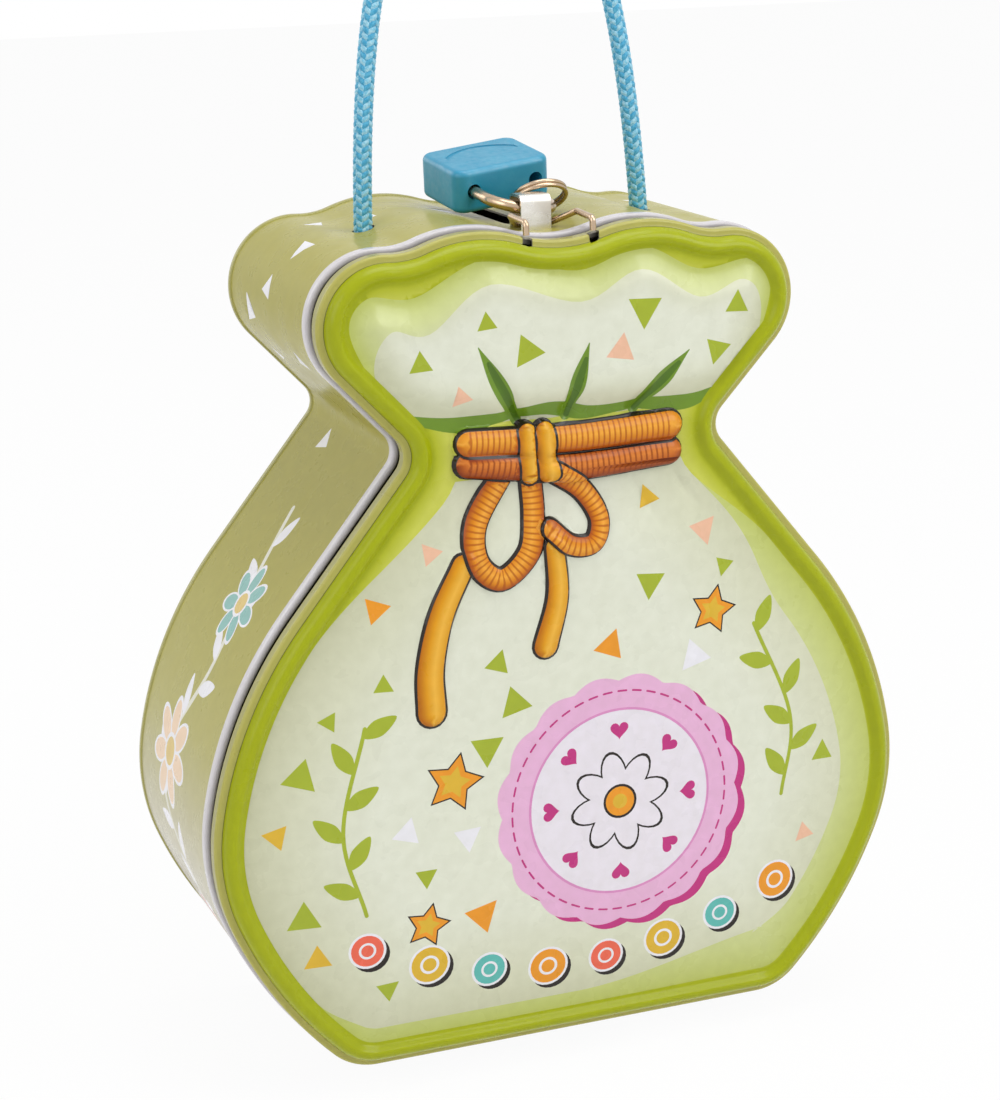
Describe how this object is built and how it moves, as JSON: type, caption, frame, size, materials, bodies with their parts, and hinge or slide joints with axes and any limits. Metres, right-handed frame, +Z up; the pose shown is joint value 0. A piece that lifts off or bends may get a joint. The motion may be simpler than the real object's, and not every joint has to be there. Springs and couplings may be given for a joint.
{
  "type": "tin money box",
  "caption": "Bag-shaped tin money box with a hinged front lid, a staple and wire clasp, a small open padlock with a split ring, and a cord handle.",
  "frame": {"origin": "bottom centre of the box, at the middle of its width and of its depth with the lid shut, without the cord", "axes": "+X to the right of the lid, +Y to the rear, +Z up; the lid faces -Y"},
  "size_m": [0.142, 0.061, 0.2291],
  "materials": {
    "band_print": "gloss",
    "lid_print": "gloss",
    "back_print": "gloss",
    "bare_tin": "satin",
    "nickel_wire": "polished",
    "padlock_blue": "satin",
    "lock_brass": "satin",
    "cord_blue": "braided"
  },
  "bodies": {
    "tin": {"side_band": "band_print", "back_panel": "back_print", "body_hinge_left": "bare_tin", "body_hinge_right": "bare_tin", "hinge_pin_left": "bare_tin", "hinge_pin_right": "bare_tin", "hasp_staple": "bare_tin", "cord_handle": "cord_blue", "cord_knot_left": "cord_blue", "cord_knot_right": "cord_blue"},
    "lid": {"front_lid": "lid_print", "lid_hinge_left": "bare_tin", "lid_hinge_right": "bare_tin"},
    "clasp": {"latch_clasp": "nickel_wire"},
    "shackle": {"padlock_shackle": "nickel_wire"},
    "lock": {"padlock_case": "padlock_blue", "padlock_bolt": "lock_brass", "padlock_spring": "nickel_wire", "shackle_retainer": "nickel_wire"},
    "plug": {"padlock_plug": "lock_brass"},
    "ring": {"key_ring": "nickel_wire"}
  },
  "joints": [
    {"name": "lid_hinge", "type": "hinge", "parent": "tin", "child": "lid", "pos_m": [0, -0.0235, 0.002], "axis": [1, 0, 0], "range_deg": [0, 85]},
    {"name": "clasp_hinge", "type": "hinge", "parent": "tin", "child": "clasp", "pos_m": [0, -0.0128, 0.15844], "axis": [-1, 0, 0], "range_deg": [-9, 40]},
    {"name": "padlock_swing", "type": "hinge", "parent": "tin", "child": "shackle", "pos_m": [0, -0.01185, 0.16096], "axis": [1, 0, 0], "range_deg": [0, 15]},
    {"name": "case_swivel", "type": "hinge", "parent": "shackle", "child": "lock", "pos_m": [-0.0075, -0.0021, 0.1636], "axis": [0.137, -0.9782, -0.156], "range_deg": [0, 45]},
    {"name": "plug_turn", "type": "hinge", "parent": "lock", "child": "plug", "pos_m": [-0.00259, 0.01045, 0.16616], "axis": [-0.137, 0.9782, 0.156], "range_deg": [0, 90]},
    {"name": "ring_swing", "type": "hinge", "parent": "shackle", "child": "ring", "pos_m": [0.00598, -0.0041, 0.16118], "axis": [-0.137, 0.9782, 0.156], "range_deg": [-3, 5]}
  ]
}
